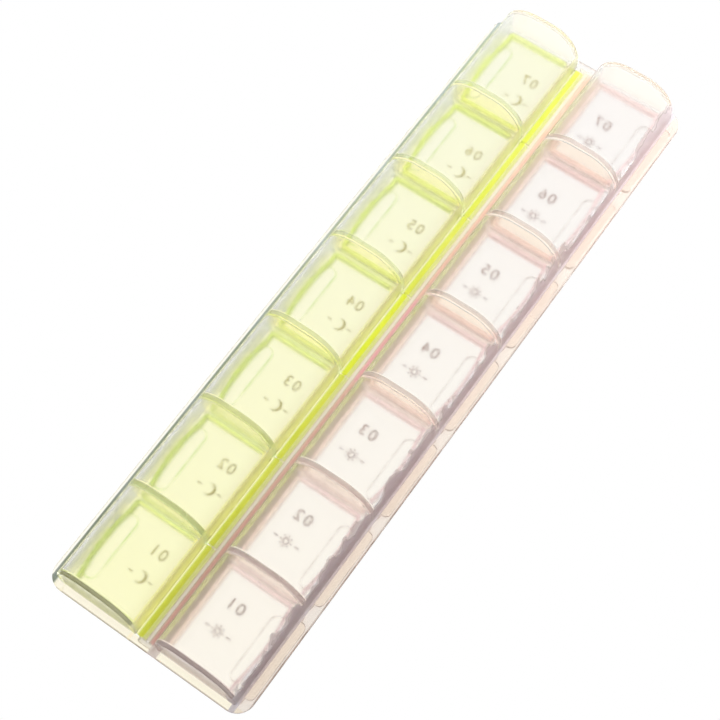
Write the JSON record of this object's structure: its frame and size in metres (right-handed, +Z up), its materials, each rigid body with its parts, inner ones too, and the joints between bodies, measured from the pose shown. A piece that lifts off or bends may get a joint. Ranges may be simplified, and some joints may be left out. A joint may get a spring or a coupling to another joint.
{
  "type": "weekly pill organizer",
  "caption": "Flat weekly pill organizer: a clear tray with two rows of rounded pockets and a hinged snap lid over each pocket.",
  "frame": {"origin": "centre of the footprint at table height, with the tray standing on its pocket bottoms", "axes": "+Z up out of the lids, +Y along the week from the Sunday end to the Monday end, +X from the day row to the night row"},
  "size_m": [0.0626, 0.2078, 0.0173],
  "materials": {
    "clear_tray": "clear polished moulding with a faint ivory tint",
    "lime_lid": "translucent lime yellow moulding, satin",
    "pink_lid": "translucent pale pink moulding, satin"
  },
  "bodies": {
    "tray": {"clear_tray_night_sunday_end": "clear_tray", "clear_tray_night_monday_end": "clear_tray", "clear_tray_day_sunday_end": "clear_tray", "clear_tray_day_monday_end": "clear_tray"},
    "sun_night_lid": {"sun_night_lid": "lime_lid"},
    "sat_night_lid": {"sat_night_lid": "lime_lid"},
    "fri_night_lid": {"fri_night_lid": "lime_lid"},
    "thu_night_lid": {"thu_night_lid": "lime_lid"},
    "wed_night_lid": {"wed_night_lid": "lime_lid"},
    "tue_night_lid": {"tue_night_lid": "lime_lid"},
    "mon_night_lid": {"mon_night_lid": "lime_lid"},
    "sun_day_lid": {"sun_day_lid": "pink_lid"},
    "sat_day_lid": {"sat_day_lid": "pink_lid"},
    "fri_day_lid": {"fri_day_lid": "pink_lid"},
    "thu_day_lid": {"thu_day_lid": "pink_lid"},
    "wed_day_lid": {"wed_day_lid": "pink_lid"},
    "tue_day_lid": {"tue_day_lid": "pink_lid"},
    "mon_day_lid": {"mon_day_lid": "pink_lid"}
  },
  "joints": [
    {"name": "sun_night_hinge", "type": "hinge", "parent": "tray", "child": "sun_night_lid", "pos_m": [0.00184, -0.087, 0.016], "axis": [0, -1, 0], "range_deg": [0, 90]},
    {"name": "sat_night_hinge", "type": "hinge", "parent": "tray", "child": "sat_night_lid", "pos_m": [0.00184, -0.058, 0.016], "axis": [0, -1, 0], "range_deg": [0, 90]},
    {"name": "fri_night_hinge", "type": "hinge", "parent": "tray", "child": "fri_night_lid", "pos_m": [0.00184, -0.029, 0.016], "axis": [0, -1, 0], "range_deg": [0, 90]},
    {"name": "thu_night_hinge", "type": "hinge", "parent": "tray", "child": "thu_night_lid", "pos_m": [0.00184, 0, 0.016], "axis": [0, -1, 0], "range_deg": [0, 90]},
    {"name": "wed_night_hinge", "type": "hinge", "parent": "tray", "child": "wed_night_lid", "pos_m": [0.00184, 0.029, 0.016], "axis": [0, -1, 0], "range_deg": [0, 90]},
    {"name": "tue_night_hinge", "type": "hinge", "parent": "tray", "child": "tue_night_lid", "pos_m": [0.00184, 0.058, 0.016], "axis": [0, -1, 0], "range_deg": [0, 90]},
    {"name": "mon_night_hinge", "type": "hinge", "parent": "tray", "child": "mon_night_lid", "pos_m": [0.00184, 0.087, 0.016], "axis": [0, -1, 0], "range_deg": [0, 90]},
    {"name": "sun_day_hinge", "type": "hinge", "parent": "tray", "child": "sun_day_lid", "pos_m": [-0.00184, -0.087, 0.016], "axis": [0, 1, 0], "range_deg": [0, 90]},
    {"name": "sat_day_hinge", "type": "hinge", "parent": "tray", "child": "sat_day_lid", "pos_m": [-0.00184, -0.058, 0.016], "axis": [0, 1, 0], "range_deg": [0, 90]},
    {"name": "fri_day_hinge", "type": "hinge", "parent": "tray", "child": "fri_day_lid", "pos_m": [-0.00184, -0.029, 0.016], "axis": [0, 1, 0], "range_deg": [0, 90]},
    {"name": "thu_day_hinge", "type": "hinge", "parent": "tray", "child": "thu_day_lid", "pos_m": [-0.00184, 0, 0.016], "axis": [0, 1, 0], "range_deg": [0, 90]},
    {"name": "wed_day_hinge", "type": "hinge", "parent": "tray", "child": "wed_day_lid", "pos_m": [-0.00184, 0.029, 0.016], "axis": [0, 1, 0], "range_deg": [0, 90]},
    {"name": "tue_day_hinge", "type": "hinge", "parent": "tray", "child": "tue_day_lid", "pos_m": [-0.00184, 0.058, 0.016], "axis": [0, 1, 0], "range_deg": [0, 90]},
    {"name": "mon_day_hinge", "type": "hinge", "parent": "tray", "child": "mon_day_lid", "pos_m": [-0.00184, 0.087, 0.016], "axis": [0, 1, 0], "range_deg": [0, 90]}
  ]
}
